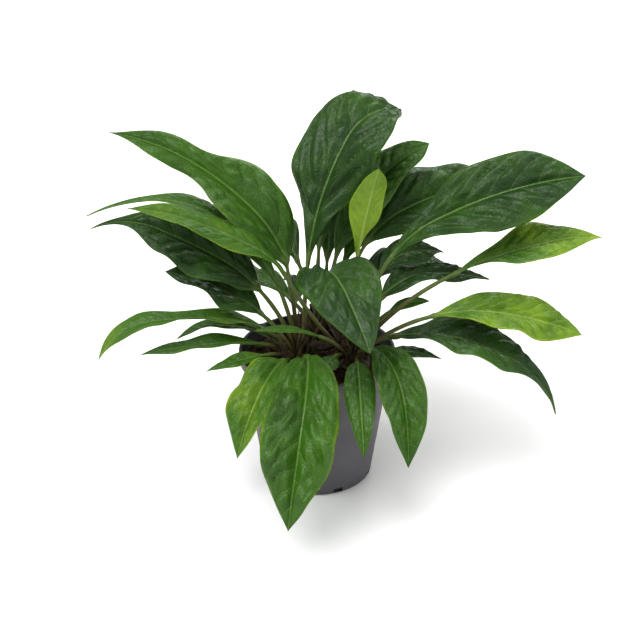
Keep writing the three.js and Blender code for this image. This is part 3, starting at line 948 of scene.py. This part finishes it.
class ANTHURIUM_OT_pot(bpy.types.Operator):
    """Makes the moulded pot with its rolled lip, foot and drainage slots"""

    bl_idname = "anthurium.pot"
    bl_label = "Make Pot"

    def execute(self, context):
        settings = context.scene.anthurium_pot
        material = pot_material(settings)
        vertices, faces = pot_surface(settings)
        pot = make_piece("pot_shell", vertices, faces, material)
        points, quads = drain_cutters()
        cutter = make_piece("drain_cutter", points, [quads], material)
        cut = pot.modifiers.new("drain slots", "BOOLEAN")
        cut.object, cut.operation, cut.solver = cutter, "DIFFERENCE", "EXACT"
        bpy.context.view_layer.update()
        solid = pot.evaluated_get(context.evaluated_depsgraph_get())
        shaped = bpy.data.meshes.new_from_object(solid)
        lost = 1 - solid_volume(shaped) / solid_volume(pot.data)
        if not 0.001 < lost < 0.05:
            raise RuntimeError("the drainage slots weren't cut cleanly")
        pot.modifiers.clear()
        pot.data = shaped
        bpy.data.objects.remove(cutter)
        pot.data.set_sharp_from_angle(angle=np.radians(40))
        place(pot, "pot")
        return {"FINISHED"}


# ------------------------------------------------------------------------------- stage


def hang(name, light, where, aim):
    """Puts a light in the scene at a place, turned to face a point."""
    lamp = bpy.data.objects.new(name, light)
    lamp.location = where
    lamp.rotation_euler = (Vector(aim) - Vector(where)).to_track_quat("-Z", "Y").to_euler()
    bpy.context.scene.collection.objects.link(lamp)


def softbox(name, where, aim, size, power):
    """A square area light that faces a point."""
    light = bpy.data.lights.new(name, "AREA")
    light.shape, light.size, light.energy = "SQUARE", size, power
    hang(name, light, where, aim)


def daylight(name, where, aim, strength, spread):
    """Even light from one side of the room, as from a large window, with soft shadows."""
    light = bpy.data.lights.new(name, "SUN")
    light.energy, light.angle = strength, spread
    hang(name, light, where, aim)


class ANTHURIUM_OT_stage(bpy.types.Operator):
    """Makes the pale floor, the soft lights and the camera"""

    bl_idname = "anthurium.stage"
    bl_label = "Make Stage"

    def execute(self, context):
        scene, settings = context.scene, context.scene.anthurium_stage
        corners = FLOOR_REACH * np.array([[-1, -1, 0], [1, -1, 0], [1, 1, 0], [-1, 1, 0]])
        white = new_material(
            "floor_paper", lambda nodes: nodes.blend(nodes.noise(2.0), (0.86,) * 3 + (1,),
                                                     (0.9,) * 3 + (1,)),
            lambda nodes: nodes.spread(nodes.noise(5.0), 0.3, 0.7, 0.85, 0.95),
            lambda nodes: nodes.noise(50.0), 0.02, 0.0002)
        floor = make_piece("floor", corners, [np.array([[0, 1, 2, 3]])], white)

        world = bpy.data.worlds.new("studio")
        world.use_nodes = True
        world.node_tree.nodes["Background"].inputs["Color"].default_value = (1, 1, 1, 1)
        world.node_tree.nodes["Background"].inputs["Strength"].default_value = 0.42
        scene.world = world
        aim = tuple(settings.aim)
        daylight("key", (-0.9, -0.8, 2.4), aim, 3.05, 0.95)
        softbox("fill", (1.6, -0.7, 1.2), aim, 0.9, 9)
        softbox("back", (0.5, 1.5, 1.5), aim, 0.9, 12)

        lens = bpy.data.cameras.new("camera")
        lens.lens, lens.sensor_width = settings.lens, 36.0
        camera = bpy.data.objects.new("camera", lens)
        camera.location = (aim[0], aim[1] - settings.distance * np.cos(settings.pitch),
                           aim[2] + settings.distance * np.sin(settings.pitch))
        camera.rotation_euler = (np.pi / 2 - settings.pitch, 0, 0)
        scene.collection.objects.link(camera)
        scene.camera = camera
        scene.view_settings.view_transform = "Standard"
        scene.view_settings.look = "Medium High Contrast"
        return {"FINISHED"}


# ------------------------------------------------------------------------------- panel


class ANTHURIUM_PT_panel(bpy.types.Panel):
    """Buttons and settings in the 3D view's sidebar"""

    bl_label = "Potted Anthurium"
    bl_space_type = "VIEW_3D"
    bl_region_type = "UI"
    bl_category = "Anthurium"

    def draw(self, context):
        for group in SETTINGS:
            box = self.layout.box()
            settings = getattr(context.scene, group)
            for name in settings.bl_rna.properties.keys():
                if name not in ("rna_type", "name"):
                    box.prop(settings, name)
        for operator in OPERATORS:
            self.layout.operator(operator.bl_idname)


SETTINGS = {
    "anthurium_leaves": LeafSettings,
    "anthurium_crowns": CrownSettings,
    "anthurium_pot": PotSettings,
    "anthurium_soil": SoilSettings,
    "anthurium_stage": StageSettings,
}
OPERATORS = (ANTHURIUM_OT_pot, ANTHURIUM_OT_soil, ANTHURIUM_OT_crowns, ANTHURIUM_OT_leaves,
             ANTHURIUM_OT_stage)


def register():
    for group in (*SETTINGS.values(), *OPERATORS, ANTHURIUM_PT_panel):
        bpy.utils.register_class(group)
    for name, group in SETTINGS.items():
        setattr(bpy.types.Scene, name, bpy.props.PointerProperty(type=group))


def unregister():
    for name in SETTINGS:
        delattr(bpy.types.Scene, name)
    for group in (ANTHURIUM_PT_panel, *reversed(OPERATORS), *SETTINGS.values()):
        bpy.utils.unregister_class(group)


def main():
    """Registers the add-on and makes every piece."""
    register()
    bpy.ops.anthurium.pot()
    bpy.ops.anthurium.soil()
    bpy.ops.anthurium.crowns()
    bpy.ops.anthurium.leaves()
    bpy.ops.anthurium.stage()
    bpy.context.view_layer.update()


if __name__ == "__main__":
    main()
